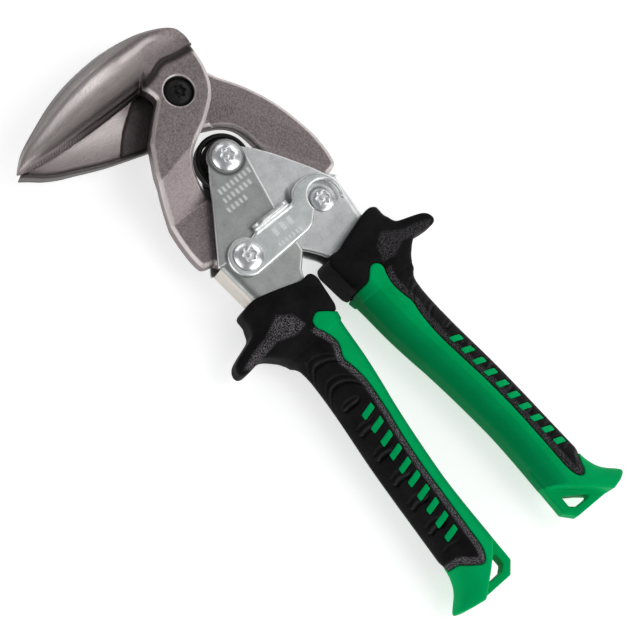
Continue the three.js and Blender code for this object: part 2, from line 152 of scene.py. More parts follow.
# ---------------------------------------------------------------- solids as fields
class Space:
    """A block of sample points.  A field on it is negative inside the solid."""

    def __init__(self, low, high, step):
        self.step = step * COARSE
        self.low = np.array(low, float)
        counts = np.ceil((np.array(high) - self.low) / self.step).astype(int) + 1
        axes = [self.low[i] + self.step * np.arange(counts[i]) for i in range(3)]
        self.x = axes[0].reshape(-1, 1, 1).astype(np.float32)
        self.y = axes[1].reshape(1, -1, 1).astype(np.float32)
        self.z = axes[2].reshape(1, 1, -1).astype(np.float32)


def soft_max(a, b, k):
    mix = np.maximum(k - np.abs(a - b), 0)
    return np.maximum(a, b) + mix * mix / (4 * k)


def soft_min(a, b, k):
    return -soft_max(-a, -b, k)


def bevelled(a, b, size):
    """What two solids share, with the edge between their faces cut at 45 degrees, and the
    height of the cut over those faces, which is above 0 only on it."""
    sharp = np.maximum(a, b)
    cut = (a + b + size) * DIAGONAL
    return np.maximum(sharp, cut), cut - sharp


def chamfer(a, b, size):
    return bevelled(a, b, size)[0]


def ramp(value, low, high):
    t = np.clip((value - low) / (high - low), 0, 1)
    return t * t * (3 - 2 * t)


CORNERS = [(i & 1, i >> 1 & 1, i >> 2) for i in range(8)]
EDGES = [(a, b) for a in range(8) for b in range(a + 1, 8) if bin(a ^ b).count("1") == 1]


def net(field):
    """The zero surface of a field as one closed net: points in cell units, and quads."""
    cells_shape = tuple(n - 1 for n in field.shape)
    inside = field < 0
    count = np.zeros(cells_shape, np.int8)
    for dx, dy, dz in CORNERS:
        nx, ny, nz = cells_shape
        count += inside[dx:nx + dx, dy:ny + dy, dz:nz + dz]
    active = (count > 0) & (count < 8)
    cells = np.argwhere(active)
    number = np.full(cells_shape, -1, np.int32)
    number[active] = np.arange(len(cells))
    values = [field[tuple((cells + corner).T)] for corner in CORNERS]
    total = np.zeros((len(cells), 3))
    hits = np.zeros((len(cells), 1))
    for a, b in EDGES:
        crossing = (values[a] < 0) != (values[b] < 0)
        share = (values[a] / np.where(crossing, values[a] - values[b], 1))[:, None]
        start, end = np.array(CORNERS[a]), np.array(CORNERS[b])
        total += np.where(crossing[:, None], start + share * (end - start), 0)
        hits += crossing[:, None]
    quads = []
    for axis in range(3):
        u, v = (axis + 1) % 3, (axis + 2) % 3
        here = np.delete(inside, -1, axis)
        there = np.delete(inside, 0, axis)
        places = np.argwhere(here != there)
        keep = (places[:, u] > 0) & (places[:, v] > 0)
        keep &= (places[:, u] < field.shape[u] - 1) & (places[:, v] < field.shape[v] - 1)
        places = places[keep]
        outward = here[tuple(places.T)]
        step_u, step_v = np.eye(3, dtype=int)[u], np.eye(3, dtype=int)[v]
        ring = [places, places - step_u, places - step_u - step_v, places - step_v]
        quad = np.stack([number[tuple(corner.T)] for corner in ring], 1)
        quads.append(np.where(outward[:, None], quad, quad[:, ::-1]))
    return cells + total / hits, np.vstack(quads)


def sample(space, values, points):
    """Value of a field-shaped array at each net point."""
    full = np.broadcast_to(values, (space.x.size, space.y.size, space.z.size))
    whole = np.floor(points).astype(int)
    part = points - whole
    result = np.zeros(len(points))
    for corner in CORNERS:
        weight = np.prod(np.where(np.array(corner), part, 1 - part), 1)
        result += weight * full[tuple((whole + corner).T)]
    return result


def relaxed(points, quads, times):
    """The net with each point drawn half way to the middle of its neighbours."""
    a = quads.ravel()
    b = np.roll(quads, -1, 1).ravel()
    for _ in range(times):
        total = np.stack([np.bincount(a, points[b, i], len(points)) for i in range(3)], 1)
        total += np.stack([np.bincount(b, points[a, i], len(points)) for i in range(3)], 1)
        degree = np.bincount(a, minlength=len(points)) + np.bincount(b, minlength=len(points))
        points = 0.5 * points + 0.5 * total / degree[:, None]
    return points


def mesh_object(name, points, quads):
    mesh = bpy.data.meshes.new(name)
    mesh.vertices.add(len(points))
    mesh.vertices.foreach_set("co", ((points + TO_ROW) * MM).ravel())
    mesh.loops.add(quads.size)
    mesh.loops.foreach_set("vertex_index", quads.astype(np.int32).ravel())
    mesh.polygons.add(len(quads))
    mesh.polygons.foreach_set("loop_start", np.arange(len(quads), dtype=np.int32) * quads.shape[1])
    mesh.polygons.foreach_set("use_smooth", np.ones(len(quads), bool))
    mesh.update(calc_edges=True)
    piece = bpy.data.objects.new(name, mesh)
    bpy.context.scene.collection.objects.link(piece)
    return piece


def carve(name, space, field, relax=1, turned_over=False, **masks):
    """The field's surface as an object, with masks stored on its points for the shaders."""
    cells, quads = net(np.broadcast_to(field, (space.x.size, space.y.size, space.z.size)))
    points = space.low + space.step * relaxed(cells, quads, relax)
    if turned_over:
        points = points * (-1, 1, -1)
    piece = mesh_object(name, points, quads)
    for mask, values in masks.items():
        layer = piece.data.attributes.new(mask, "FLOAT", "POINT")
        layer.data.foreach_set("value", sample(space, values, cells).astype(np.float32))
    return piece


# ---------------------------------------------------------------- shaders
class Shader:
    """A material built node by node around one Principled shader."""

    def __init__(self, name, **settings):
        self.material = bpy.data.materials.new(name)
        self.material.use_nodes = True
        self.tree = self.material.node_tree
        self.surface = self.tree.nodes["Principled BSDF"]
        self.place = self.add("ShaderNodeTexCoord").outputs["Object"]
        self.set(**settings)

    def add(self, kind, inputs=None, **settings):
        made = self.tree.nodes.new(kind)
        for key, value in settings.items():
            setattr(made, key, value)
        for key, value in (inputs or {}).items():
            self.join(value, made.inputs[key])
        return made

    def join(self, value, socket):
        if isinstance(value, bpy.types.NodeSocket):
            self.tree.links.new(value, socket)
        else:
            socket.default_value = value

    def set(self, **inputs):
        for key, value in inputs.items():
            self.join(value, self.surface.inputs[key.replace("_", " ")])

    def mask(self, name):
        return self.add("ShaderNodeAttribute", attribute_name=name).outputs["Fac"]

    def stretched(self, x, y, z):
        mapping = self.add("ShaderNodeMapping", {"Vector": self.place, "Scale": (x, y, z)})
        return mapping.outputs["Vector"]

    def noise(self, millimetres, detail=4.0, roughness=0.6, place=None):
        inputs = {"Vector": place or self.place, "Scale": 1000.0 / millimetres, "Detail": detail,
                  "Roughness": roughness}
        return self.add("ShaderNodeTexNoise", inputs).outputs["Fac"]

    def math(self, operation, a, b):
        made = self.add("ShaderNodeMath", operation=operation)
        self.join(a, made.inputs[0])
        self.join(b, made.inputs[1])
        return made.outputs[0]

    def scale(self, value, from_low, from_high, to_low, to_high):
        inputs = {"Value": value, "From Min": from_low, "From Max": from_high,
                  "To Min": to_low, "To Max": to_high}
        return self.add("ShaderNodeMapRange", inputs).outputs["Result"]

    def blend(self, factor, a, b):
        made = self.add("ShaderNodeMix", data_type="RGBA")
        for value, index in ((factor, 0), (a, 6), (b, 7)):
            self.join(value, made.inputs[index])
        return made.outputs[2]

    def bump(self, height, strength, millimetres, under=None):
        inputs = {"Height": height, "Strength": strength, "Distance": millimetres * MM}
        if under is not None:
            inputs["Normal"] = under
        return self.add("ShaderNodeBump", inputs).outputs["Normal"]


def forged_steel():
    s = Shader("forged_steel", Metallic=1.0)
    edge = s.mask("edge")
    polish = s.mask("polish")
    cloud = s.scale(s.noise(9.0), 0.35, 0.65, 0.0, 1.0)
    speck = s.scale(s.noise(0.8, 3.0, 0.7), 0.36, 0.66, 0.0, 1.0)
    streak = s.noise(0.9, 3.0, place=s.stretched(0.05, 1.0, 1.0))
    blasted = s.blend(cloud, (0.170, 0.140, 0.143, 1), (0.215, 0.180, 0.183, 1))
    blasted = s.blend(s.math("MULTIPLY", speck, 0.62), blasted, (0.42, 0.36, 0.365, 1))
    brushing = s.scale(streak, 0.2, 0.8, 0.0, 1.0)
    worn = s.blend(brushing, (0.31, 0.277, 0.270, 1), (0.40, 0.360, 0.352, 1))
    worn = s.blend(s.math("MULTIPLY", cloud, 0.3), worn, (0.21, 0.18, 0.175, 1))
    colour = s.blend(polish, blasted, worn)
    # The edge mask lightens worn edges and also carries painted highlights on the upper dome and the lower
    # blade.
    colour = s.blend(s.math("MULTIPLY", edge, 0.8), colour, (0.70, 0.64, 0.63, 1))
    # The scale mask darkens: painted shade on the dome's sides, the lower jaw's recess floor and its blade's
    # lower edge, and darker bands along the upper jaw's hub fillet, dome foot and arm corner.
    colour = s.blend(s.mask("scale"), colour, (0.045, 0.038, 0.037, 1))
    rough = s.scale(speck, 0.0, 1.0, 0.44, 0.56)
    rough = s.math("SUBTRACT", rough, s.math("MULTIPLY", polish, 0.10))
    grain = s.bump(s.noise(0.7, 2.0), 0.6, 0.2)
    brushed = s.bump(streak, 0.06, 0.05, grain)
    slant = s.add("ShaderNodeMapping", {"Vector": s.place, "Rotation": (0.0, 0.0, 0.5)})
    lines = {"Vector": slant.outputs["Vector"], "Scale": 300.0, "Distortion": 0.0}
    wave = s.add("ShaderNodeTexWave", lines)
    comb = s.bump(s.math("MULTIPLY", wave.outputs["Fac"], s.mask("teeth")), 0.8, 0.25, brushed)
    s.set(Base_Color=colour, Roughness=rough, Normal=comb)
    return s.material


def sheet_metal(name, tone, rough, streaks=1.0):
    s = Shader(name, Metallic=1.0)
    edge = s.mask("edge")
    cloud = s.scale(s.noise(5.0, 6.0, 0.65), 0.34, 0.66, 0.0, 1.0)
    speck = s.scale(s.noise(0.6, 2.0), 0.36, 0.64, 0.0, 1.0)
    dull = [0.74 * part for part in tone]
    bright = [1.12 * part for part in tone]
    colour = s.blend(cloud, (*dull, 1), (*tone, 1))
    colour = s.blend(s.math("MULTIPLY", speck, 0.4), colour, (*bright, 1))
    colour = s.blend(s.math("MULTIPLY", edge, 0.8), colour, (0.86, 0.87, 0.86, 1))
    colour = s.blend(s.math("MULTIPLY", s.mask("stamp"), 0.75), colour, (0.90, 0.91, 0.90, 1))
    colour = s.blend(s.mask("wall"), colour, (0.86, 0.79, 0.71, 1))
    colour = s.blend(s.mask("shade"), colour, (0.03, 0.03, 0.03, 1))
    fine = s.noise(0.3, 3.0, place=s.stretched(1.0, 0.08, 1.0))
    roughness = s.scale(s.noise(2.2, 4.0), 0.3, 0.7, rough - 0.08, rough + 0.08)
    grain = s.bump(fine, 0.10 * streaks, 0.05)
    pits = s.bump(speck, 0.10, 0.05, grain)
    s.set(Base_Color=colour, Roughness=roughness, Normal=pits)
    return s.material


def bright_zinc():
    s = Shader("bright_zinc", Metallic=1.0)
    cloud = s.scale(s.noise(2.0, 4.0), 0.3, 0.7, 0.0, 1.0)
    colour = s.blend(cloud, (0.74, 0.75, 0.76, 1), (0.86, 0.87, 0.88, 1))
    roughness = s.scale(s.noise(1.0), 0.3, 0.7, 0.27, 0.33)
    s.set(Base_Color=colour, Roughness=roughness, Normal=s.bump(s.noise(0.5, 2.0), 0.05, 0.03))
    return s.material


def dark_metal(name, tone, rough):
    s = Shader(name, Metallic=0.2, Specular_IOR_Level=0.22)
    cloud = s.scale(s.noise(1.6, 4.0), 0.3, 0.7, 0.0, 1.0)
    low, high = tone * 0.7, tone * 1.5
    colour = s.blend(cloud, (low, low, low, 1), (high, high, high, 1))
    roughness = s.scale(s.noise(0.9), 0.3, 0.7, rough - 0.07, rough + 0.09)
    s.set(Base_Color=colour, Roughness=roughness, Normal=s.bump(s.noise(0.5, 2.0), 0.15, 0.06))
    return s.material


def green_plastic():
    s = Shader("green_plastic", Specular_IOR_Level=0.008)
    cloud = s.scale(s.noise(12.0, 3.0), 0.3, 0.7, 0.0, 1.0)
    colour = s.blend(cloud, (0.0, 0.330, 0.088, 1), (0.0, 0.375, 0.108, 1))
    # The flank mask paints shade on the grip's inner flank.
    colour = s.blend(s.mask("flank"), colour, (0.0, 0.105, 0.042, 1))
    roughness = s.scale(s.noise(1.4), 0.3, 0.7, 0.36, 0.48)
    s.set(Base_Color=colour, Roughness=roughness, Normal=s.bump(s.noise(0.45, 2.0), 0.14, 0.06))
    return s.material


def black_rubber():
    s = Shader("black_rubber", Specular_IOR_Level=0.012)
    stipple = s.mask("stipple")
    groove = s.mask("groove")
    speck = s.scale(s.noise(0.32, 1.0, 0.4), 0.46, 0.60, 0.0, 1.0)
    cloud = s.scale(s.noise(8.0), 0.3, 0.7, 0.0, 1.0)
    base = s.blend(cloud, (0.0060, 0.0058, 0.0060, 1), (0.0125, 0.0119, 0.0123, 1))
    # Light specks of the stippled texture, which on the horn panel also paint its sheen.
    stipple_and_sheen = s.blend(speck, (0.008, 0.007, 0.0075, 1), (0.190, 0.176, 0.188, 1))
    colour = s.blend(stipple, base, stipple_and_sheen)
    # The groove mask paints a highlight on the chevrons' lips and shade in their grooves.
    colour = s.blend(s.scale(groove, 0.05, 0.6, 0.0, 1.0), colour, (0.038, 0.035, 0.038, 1))
    colour = s.blend(s.scale(groove, -0.05, -0.7, 0.0, 1.0), colour, (0.0006, 0.0006, 0.0006, 1))
    fine = s.bump(s.noise(0.4, 2.0), 0.22, 0.08)
    pebbles = s.bump(s.math("MULTIPLY", speck, stipple), 0.7, 0.3, fine)
    s.set(Base_Color=colour, Roughness=s.scale(speck, 0.0, 1.0, 0.42, 0.58), Normal=pebbles)
    return s.material


FORGED = forged_steel()
LEFT_SHEET = sheet_metal("left_sheet", (0.40, 0.415, 0.40), 0.40)
RIGHT_SHEET = sheet_metal("right_sheet", (0.67, 0.675, 0.675), 0.42)
LATCH_SHEET = sheet_metal("latch_sheet", (0.62, 0.65, 0.64), 0.38, 1.6)
ZINC = bright_zinc()
BLACK_OXIDE = dark_metal("black_oxide", 0.010, 0.42)
SPRING_STEEL = dark_metal("spring_steel", 0.008, 0.46)
GREEN = green_plastic()
RUBBER = black_rubber()


def dress(piece, material, body, slot, *nodes):
    piece.data.materials.clear()
    piece.data.materials.append(material)
    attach(piece, body)
    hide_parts(*nodes)


# ---------------------------------------------------------------- jaws
ARM_OUTER = smooth([
    (17.9, -3), (24.4, -13), (29.6, -25), (32.6, -38), (33.6, -48), (33.2, -54.5), (31.6, -56.3), (28.4, -57),
])
TAIL = arc(RIGHT_LINK, 7.8, 20, -200, 40)
ARM_INNER = smooth([(12.2, -50), (13.9, -37), (13.6, -31), (11.6, -23.5), (7.2, -18.6), (0, -15)])
RAMP_FOOT = -36.9
HUB_LOW = -23.5
RECESS_DEPTH = 5.2
BEVEL_WEAR = (-0.25, 0.05)

BLADE_TIP = -66.5
BLADE_ROOT = 15.9
BLADE_CUT = profile([(16, 9.5), (-15, 8.2), (-30, 7.9), (-42, 8.3), (-52, 9), (-60, 10.1), (-66.5, 11.7)])
DOME_FOOT = profile([
    (16, 10.8), (8, 11.6), (1.5, 12.8), (-5, 10.8), (-12, 10.1), (-30, 10.1), (-42, 10.4), (-52, 10.8),
    (-61, 11.7), (-66.5, 12.0),
])
DOME_BACK = smooth([
    (15.9, 11.7), (15.8, 16.2), (15.1, 19.8), (13.2, 22.2), (8.4, 25), (0.5, 27.7), (-8, 29), (-17, 29.3),
    (-29, 28.2), (-40, 25.7), (-50.3, 21.9), (-58.8, 18.3), (-63.6, 15.3), (-66.5, 12.6),
])
DOME_HEIGHT = profile([
    (16, 7.4), (11, 10.2), (2, 11.7), (-20, 12), (-36, 10.4), (-51, 7.2), (-61, 4), (-66.5, 1.3),
])
DOME_SECTION = profile([
    (0.0, 0.28), (0.05, 0.40), (0.15, 0.60), (0.3, 0.80), (0.45, 0.92), (0.58, 0.98), (0.68, 1.0),
    (0.77, 0.96), (0.84, 0.83), (0.91, 0.59), (0.96, 0.36), (1.0, 0.14),
])


def dome_back(x):
    return np.interp(x, DOME_BACK[::-1, 0], DOME_BACK[::-1, 1])


def dome(s):
    """The swept upper blade: (field, plan distance, foot line)."""
    x, y, z = s.x, s.y, s.z
    back = dome_back(x).astype(np.float32)
    cut, foot = BLADE_CUT(x), np.minimum(DOME_FOOT(x), back - 0.4)
    height = DOME_HEIGHT(x)
    strip = np.minimum(2.4, height * 0.4)
    across = np.clip((y - foot) / (back - foot), 0, 1)
    rise = np.maximum(DOME_SECTION(across) * height, strip)
    slope = 0.7 + (strip - 0.7) * np.clip((y - cut) / (foot - cut), 0, 1)
    top = UPPER_FACE + np.where(y < foot, slope, rise)
    steep = np.sqrt(1 + sum(g * g for g in np.gradient(top[:, :, 0], s.step)))[:, :, None]
    cut_x = np.linspace(BLADE_TIP, BLADE_ROOT, 60)
    cut_line = np.stack([cut_x, BLADE_CUT(cut_x)], 1)
    plan = plan_distance(x, y, outline(DOME_BACK, cut_line))
    field = soft_max((z - top) / steep, plan, 1.2)
    return np.maximum(field, UPPER_FACE - z), plan, foot


def upper_arm(s):
    """The upper jaw's hub, ramp and tail: (field, bevel mask, plan distance)."""
    x, y, z = s.x, s.y, s.z
    hub_right = smooth([
        (15.2, 11.5), (14.9, 6.5), (14.3, 2.4), (13.4, -0.6), (11.9, -4.2), (9.6, -7.7), (6.9, -10.3),
        (0.4, -14.9),
    ])
    arm_inner = smooth([(-2.9, -16.5), (-6.1, -18), (-9.3, -20.1), (-11.9, -23), (-13.3, -26.3), (-14, -31),
                        (-13.9, -37), (-12.2, -50)])
    hub_left = smooth([(-21.5, -8.8), (-17.7, -5.4), (-13.4, -1.6), (-9.5, 1.6), (-8.8, 3.4), (-9.4, 6.2),
                       (-10.6, 8.6)])
    inside_dome = [(-4, 19), (15, 15)]
    points = outline(
        hub_right, arm_inner, mirrored(TAIL), mirrored(ARM_OUTER)[:-12], hub_left, inside_dome,
    )
    plan = plan_distance(x, y, points)
    ramp_top = -20.7 + 0.2 * (x + 19.6)
    share = np.clip((y - RAMP_FOOT) / (ramp_top - RAMP_FOOT), 0, 1)
    front = TAIL_HALF + (HUB_FRONT - TAIL_HALF) * share
    rear = np.interp(y, [-37, HUB_LOW], [-TAIL_HALF, UPPER_FACE]).astype(np.float32)
    tilt = np.where((share > 0) & (share < 1), 0.83, 1.0)
    arm, cut = bevelled(plan, (z - front) * tilt, 1.3)
    return chamfer(arm, rear - z, 0.5), ramp(cut, *BEVEL_WEAR), plan


def upper_jaw_masks(s, bevel, foot):
    """Where the upper jaw has bright worn edges and a painted highlight on the dome, is polished and toothed,
    and is darkened: painted shade on the dome's sides, and darker bands in the hub fillet, under the dome's
    foot and in the arm's corner.
    """
    x, y, z = s.x, s.y, s.z
    back = dome_back(x)
    past_foot = y - foot
    across = np.clip(past_foot / (back - foot), 0, 1)
    rim = (1 - ramp(np.abs(radius_from(s, JAW_PIVOT) - 6.0), 0.2, 0.5)) * (z > HUB_FRONT - 0.8)
    on_hub = ramp(past_foot, 0.4, -0.6) * ramp(z, 12.6, 13.4)
    edge = np.maximum(bevel * ramp(foot + 1.5 - y, 0, 1), rim)
    on_dome = ramp(past_foot, -0.5, 1.5) * (1 - on_hub)
    polish = on_dome * ramp(x, 2, -16)
    teeth = ramp(x, -33, -45) * ramp(x, -64.5, -62) * (y < foot + 0.3) * (y < back)
    # Darker bands in the fillet where the hub meets the dome and under the dome's foot.
    crease = ramp(np.abs(past_foot + 0.6), 2.6, 0.8) * ramp(x, -16, -9) * ramp(z, 12.5, 13.5)
    strip = ramp(past_foot, 0.9, -0.1) * ramp(x, -8, -11) * (z > 6.3) * (y > 6.5)
    strip = strip * (0.3 + 0.68 * ramp(x, -48, -34))
    # Painted shade: the dome's lower side and its outer edge are darkened, with a dark streak near the
    # outline.
    low_side = 0.8 * ramp(across, 0.58, 0.22) * ramp(x, -66, -52) * (1 - 0.4 * ramp(x, -12, 0))
    high_side = 0.68 * ramp(across, 0.72, 0.90) * ramp(x, 12, -6) * ramp(x, -68, -54)
    streak = 0.3 * ramp(np.abs(across - 0.92), 0.07, 0.02) * ramp(np.abs(x + 28), 20, 10)
    painted_shade = on_dome * np.clip(low_side + high_side + streak, 0, 0.85)
    # Painted highlights along the dome: a broad one towards the tip and a narrow one near the hub.
    broad_highlight = ramp(np.abs(across - 0.62), 0.24, 0.0) * ramp(np.abs(x + 38), 28, 12)
    narrow_highlight = 0.6 * ramp(np.abs(across - 0.57), 0.09, 0.02) * ramp(np.abs(x + 4), 11, 5)
    painted_highlight = on_dome * np.maximum(broad_highlight, narrow_highlight)
    # Darker in the corner where the arm meets the dome.
    corner = 0.75 * ramp(np.hypot(x + 8.2, y - 13.0), 3.8, 1.2) * (z > 11)
    return {
        "edge": np.maximum(edge * (1 - crease), painted_highlight),
        "polish": polish,
        "teeth": teeth,
        "scale": np.maximum(np.maximum(crease, strip), np.maximum(painted_shade, corner)),
    }


def upper_jaw():
    s = Space((-69, -73, -5.5), (18.5, 31.5, 20.5), 0.3)
    x, y, z = s.x, s.y, s.z
    arm, bevel, plan = upper_arm(s)
    blade, blade_plan, foot = dome(s)
    jaw = soft_min(arm, blade, 0.7 + 1.9 * ramp(x, -9, -2))
    jaw = np.maximum(jaw, np.minimum(plan, blade_plan))
    jaw = np.maximum(jaw, np.where(y > HUB_LOW, UPPER_FACE - z, -FAR))
    from_pivot = radius_from(s, JAW_PIVOT)
    sunk = chamfer(jaw, 5.8 - from_pivot, 0.4)
    jaw = np.where(z > HUB_FRONT - 3, sunk, np.maximum(jaw, JAW_SHANK + FIT - from_pivot))
    jaw = np.maximum(jaw, LINK_SHANK + FIT - radius_from(s, LEFT_LINK))
    piece = carve("upper_jaw_forging", s, jaw, 1, **upper_jaw_masks(s, bevel, foot))
    dress(piece, FORGED, "upper_jaw", "forged_steel", "upper_jaw")


def lower_jaw():
    s = Space((-67.5, -73, -5.5), (35.5, 17.5, 8), 0.3)
    x, y, z = s.x, s.y, s.z
    blade_back = [(-65.6, 11.0), (-63, 12.6), (-45, 14.2), (-20, 14.8)]
    hub_top = arc(JAW_PIVOT, 15.6, 108, 8)
    blade_front = smooth([(-6, -15), (-13, -12.2), (-20.8, -9.6), (-27.1, -7.6), (-37.5, -4.1), (-47.9, 0.3),
                          (-53.1, 2.5), (-58.2, 5.4), (-62.3, 8.6), (-65.6, 11.0)])
    points = outline(blade_back, hub_top, ARM_OUTER, TAIL, ARM_INNER, blade_front[:-1])
    plan = plan_distance(x, y, points)
    share = np.clip(((x - 12) * 0.835 + (y + 33) * 0.55 - 3.2) / 9.0, 0, 1)
    share = np.where(x > 4, share, 1.0)
    front = TAIL_HALF + (LOWER_FACE - TAIL_HALF) * share
    front = front - 0.2 * np.maximum(BLADE_CUT(x) - y, 0) * ramp(x, -14, -20)
    rear = np.interp(y, [-35.5, -22], [-TAIL_HALF, HUB_REAR]).astype(np.float32)
    on_blade = ramp(x, -17, -24)
    face = z - front
    jaw, cut = bevelled(plan, face, 1.2 - 0.5 * on_blade)
    low_edge = segment_distance(x, y, blade_front)
    sag = 0.4 * ramp(np.abs(low_edge - 1.8), 1.2, 0.2) * on_blade
    jaw = np.maximum(jaw, face + sag)
    jaw = chamfer(jaw, rear - z, 0.4)
    wall = smooth([(-12.5, 9.4), (-17.8, 5.8), (-23.2, 2.1), (-27.5, -2.0), (-30.4, -5.4)])
    recess = outline(wall, (-22.4, -8.0), (-8, -12.5), (-6, 9.4))
    pocket = plan_distance(x, y, recess)
    jaw = chamfer(jaw, -np.maximum(pocket, SHEAR_Z - RECESS_DEPTH - z), 0.3)
    jaw = np.maximum(jaw, JAW_SHANK + FIT - radius_from(s, JAW_PIVOT))
    jaw = np.maximum(jaw, LINK_SHANK + LINK_PLAY - radius_from(s, RIGHT_LINK))

    # Painted highlight on the blade's upper part, with a light line along its lower rim.
    painted_blade_highlight = 0.12 * ramp(low_edge, 0.4, 0.2) + 0.4 * ramp(low_edge, 5.0, 12.0)
    edge = np.maximum(ramp(cut, *BEVEL_WEAR) * (1 - on_blade), on_blade * painted_blade_highlight)
    polish = 0.65 * on_blade * ramp(pocket, 0.2, 0.8)
    shade = 0.55 * ramp(low_edge, 2.8, 1.0) + 0.5 * ramp(low_edge, 10.0, 0.5)
    shade = np.clip(on_blade * shade, 0, 0.85)
    # Painted shade on the recess floor and towards the blade's lower edge, stored in the scale mask.
    floor_shade = 0.62 + 0.38 * ramp(pocket, -1.6, -0.5)
    scale = np.maximum(ramp(pocket, 0.3, -0.3) * floor_shade, shade)
    piece = carve("lower_jaw_forging", s, jaw, 1, edge=edge, polish=polish, teeth=0.0, scale=scale)
    dress(piece, FORGED, "lower_jaw", "forged_steel", "lower_jaw")


upper_jaw()
lower_jaw()


# ---------------------------------------------------------------- handle channels
WEB_TOP = -60.3
TANG_END = -188.0
TANG_OUTER = [(28, -79), (25.4, -90), (22, -101), (19.8, -112), (20.2, -130), (23, -150), (25.3, TANG_END)]
TANG_INNER = [
    (19.9, TANG_END), (18.6, -166), (16.9, -151), (14.1, -131), (12.4, -117), (10.8, -98), (8.4, -85),
]
LEFT_PLATE = outline(
    arc(HANDLE_PIVOT, 7, 44, 190), (-6.6, -33), (-2.1, -54.7), (0, -70.2), (0.5, -73.8), (3.1, -76.6),
    (5.5, -78.8), (6.4, -81), TANG_INNER[::-1], TANG_OUTER[::-1], (29.8, -59.3),
)
RIGHT_PLATE = outline(
    arc(HANDLE_PIVOT, 7, 8, 180), (-2.4, -60), (0, -73), (2, -75.1), (5.1, -79.2), (6.4, -81.5),
    TANG_INNER[::-1], TANG_OUTER[::-1], (29.8, -59), (26.6, -56.3),
    smooth([(24.2, -51.6), (16.4, -39.2), (11.6, -32.8)]),
)
WEB_LINE = np.array([(29.8, WEB_TOP), *TANG_OUTER])[::-1]

# Painted shadow on the right plate beside the latch's hook.
NECK_SHADOW = outline((11.4, -51.6), (9.4, -52.4), (7.2, -54.6), (7.0, -57.8), (9.0, -57.8), (9.6, -54.6))


def dashes(x, y, left, right, pitch, height):
    """A row of plain upright dashes standing where a line of lettering would be."""
    stroke = np.abs(np.mod(x - left, pitch) - 0.5 * pitch) - 0.24 * pitch
    row = np.maximum(np.abs(y) - 0.5 * height, np.maximum(left - x, x - right))
    return ramp(np.maximum(stroke, row), 0.15, -0.15)


def channel(side, plate, half, material):
    """One folded handle sheet, drawn as the right one and mirrored for the left."""
    s = Space((-11, -190, -half - 1), (32, -20.5, half + 1), 0.32)
    x, y, z = s.x, s.y, s.z
    depth = np.abs(z)
    web_x = np.interp(y, WEB_LINE[:, 1], WEB_LINE[:, 0]).astype(np.float32)
    plan = plan_distance(x, y, plate)
    lip = (plan + depth - half + 0.45) * DIAGONAL
    sheet = np.maximum(np.maximum(plan, depth - half), lip)
    folded = np.where(y < WEB_TOP + 0.3, x - web_x, -FAR)
    sheet = np.maximum(sheet, soft_max(folded, depth - half, 4.5))
    inside = soft_max(x - web_x + SHEET, depth - half + SHEET, 0.8)
    inside = np.where(y < WEB_TOP, inside, depth - half + SHEET)
    sheet = np.maximum(sheet, -inside)
    sheet = np.maximum(sheet, HANDLE_SHANK + FIT - radius_from(s, HANDLE_PIVOT))
    sheet = np.maximum(sheet, LINK_SHANK + FIT - radius_from(s, RIGHT_LINK))
    edge = ramp(lip - np.maximum(plan, depth - half), -0.3, 0.0) * (folded < -1.5)
    wall = 0.6 * ramp(folded, -0.9, -0.4) * ramp(depth, half - 0.6, half - 2.0) * (y < WEB_TOP)
    on_face = z > half - 0.6
    marks = 0.0
    if side == "left":
        for row, (start, end) in enumerate(((-4.2, 11.2), (-1.6, 12.6), (3.6, 14.0))):
            line = dashes(x, y + 38.0 + 3.6 * row, start, end, 2.0, 2.1)
            marks = np.maximum(marks, line * on_face)
        shadow = 0.75 * ramp(np.abs(radius_from(s, HANDLE_PIVOT) - 6.9), 0.9, 0.2)
    else:
        shadow = 0.5 * ramp(plan_distance(x, y, NECK_SHADOW), 0.3, -0.3)
        shadow = np.maximum(shadow, 0.16 * ramp(y, -66, -76))
    shade = shadow * on_face
    piece = carve(side + "_channel", s, sheet, 0, edge=edge, stamp=marks, wall=wall, shade=shade)
    if side == "left":
        piece.data.transform(Matrix.Scale(-1, 4, Vector((1, 0, 0))))
        piece.data.flip_normals()
    dress(piece, material, side + "_handle", "zinc_sheet", side + "_handle_frame")


channel("left", LEFT_PLATE, LEFT_HALF, LEFT_SHEET)
channel("right", RIGHT_PLATE, RIGHT_HALF, RIGHT_SHEET)


# ---------------------------------------------------------------- latch
THUMB_TAB_Y = -56.2


